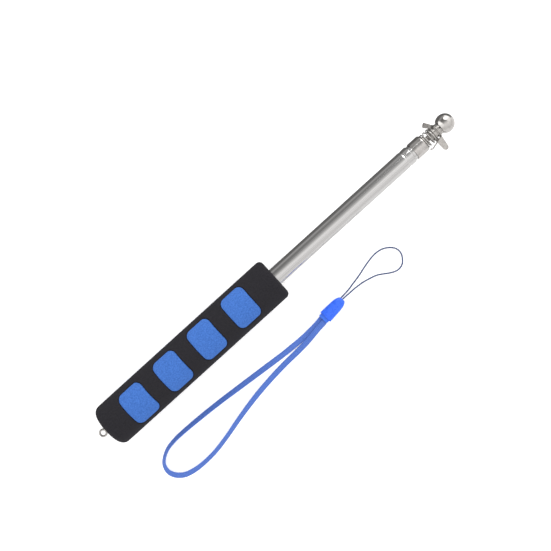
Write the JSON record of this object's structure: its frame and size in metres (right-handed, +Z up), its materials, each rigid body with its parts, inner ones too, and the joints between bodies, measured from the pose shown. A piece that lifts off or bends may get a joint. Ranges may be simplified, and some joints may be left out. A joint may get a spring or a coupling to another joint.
{
  "type": "telescopic hand flagpole",
  "caption": "Collapsed telescopic hand flagpole with a foam grip, nested steel tubes, a sprung flag clip and ball at the tip, and a separate wrist strap.",
  "frame": {"origin": "on the surface that the grip lies on, halfway along the collapsed pole, under its axis", "axes": "+X along the pole towards the ball, +Z up from the surface"},
  "size_m": [0.38, 0.0937, 0.0368],
  "materials": {
    "foam_black": "matte",
    "foam_blue": "matte",
    "black_plastic": "matte",
    "cast_alloy": "satin",
    "plated_steel": "gloss",
    "rubber_pad": "matte",
    "stainless_tube": "satin",
    "white_plastic": "satin",
    "brass_bush": "satin",
    "plated_cap": "gloss",
    "spring_steel": "satin",
    "polished_ball": "polished",
    "blue_webbing": "matte",
    "blue_cord": "matte",
    "blue_plastic": "gloss"
  },
  "bodies": {
    "pole": {"grip_foam": "foam_black", "inlay_1": "foam_blue", "inlay_2": "foam_blue", "inlay_3": "foam_blue", "inlay_4": "foam_blue", "butt_plug": "black_plastic", "lanyard_eye": "plated_steel", "stop_pad": "rubber_pad", "tube_1": "stainless_tube", "mouth_bush_1": "white_plastic"},
    "section_2": {"tube_2": "stainless_tube", "slide_bush_2": "brass_bush", "mouth_bush_2": "white_plastic"},
    "section_3": {"tube_3": "stainless_tube", "slide_bush_3": "brass_bush", "mouth_bush_3": "white_plastic"},
    "section_4": {"tube_4": "stainless_tube", "slide_bush_4": "brass_bush", "mouth_bush_4": "white_plastic"},
    "section_5": {"tube_5": "stainless_tube", "slide_bush_5": "brass_bush", "tip_plug": "cast_alloy", "tip_cap": "plated_cap", "cap_nut": "plated_steel", "tip_stud": "plated_steel", "ball_finial": "polished_ball", "lock_washer": "spring_steel", "clamp_washer": "plated_steel", "clip_spring": "spring_steel"},
    "clip": {"clip_hub": "plated_steel", "clip_leaf_lower": "plated_steel", "clip_leaf_upper": "plated_steel"},
    "wrist_strap": {"strap_ferrule": "blue_plastic", "strap_plug": "blue_plastic", "strap_band": "blue_webbing", "strap_loop": "blue_cord"}
  },
  "joints": [
    {"name": "section_2_slide", "type": "slide", "parent": "pole", "child": "section_2", "axis": [1, 0, 0], "range_m": [0, 0.285]},
    {"name": "section_3_slide", "type": "slide", "parent": "section_2", "child": "section_3", "axis": [1, 0, 0], "range_m": [0, 0.285]},
    {"name": "section_4_slide", "type": "slide", "parent": "section_3", "child": "section_4", "axis": [1, 0, 0], "range_m": [0, 0.285]},
    {"name": "section_5_slide", "type": "slide", "parent": "section_4", "child": "section_5", "axis": [1, 0, 0], "range_m": [0, 0.285]},
    {"name": "clip_slide", "type": "slide", "parent": "section_5", "child": "clip", "axis": [-1, 0, 0], "range_m": [0, 0.004], "stiffness_N_per_m": 1200, "springref_m": -0.002, "deforming": ["clip_spring"]},
    {"name": "strap_lift", "type": "slide", "parent": "pole", "child": "wrist_strap", "axis": [0, 0, 1], "range_m": [0, 0.06]}
  ]
}
